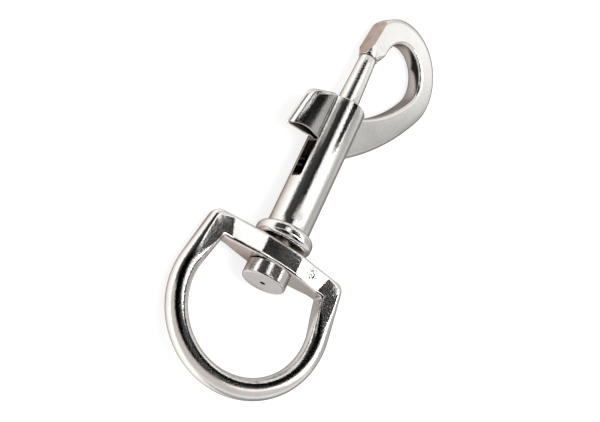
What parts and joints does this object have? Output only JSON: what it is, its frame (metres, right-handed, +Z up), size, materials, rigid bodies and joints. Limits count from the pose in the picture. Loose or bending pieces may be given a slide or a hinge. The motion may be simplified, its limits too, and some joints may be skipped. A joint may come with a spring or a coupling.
{
  "type": "swivel snap hook",
  "caption": "Cast snap hook with a sprung bolt and thumb lever in a barrel, and a D-shaped strap eye that swivels on a riveted stud.",
  "frame": {"origin": "centre of the footprint of the hook as it lies on a table, at the table's level", "axes": "+X along the table from the strap eye to the hook, beside the barrel's axis, which dips 2.8 degrees towards the rim; +Y to the thumb lever's side; +Z up from the table"},
  "size_m": [0.0912, 0.037, 0.0132],
  "materials": {
    "nickel_cast": "polished nickel plating on a zinc casting",
    "nickel_stud": "nickel-plated steel",
    "spring_steel": "bright spring wire"
  },
  "bodies": {
    "hook": {"hook_body": "nickel_cast", "stud": "nickel_stud", "spring": "spring_steel"},
    "bolt": {"bolt": "nickel_cast"},
    "eye": {"d_eye": "nickel_cast"}
  },
  "joints": [
    {"name": "bolt_slide", "type": "slide", "parent": "hook", "child": "bolt", "axis": [-0.9988, 0, 0.0496], "range_m": [0, 0.009], "stiffness_N_per_m": 600, "springref_m": -0.008, "deforming": ["spring"]},
    {"name": "eye_swivel", "type": "hinge", "parent": "hook", "child": "eye", "pos_m": [-0.01715, 0.00197, 0.00607], "axis": [0.9988, 0, -0.0496], "continuous": true}
  ]
}
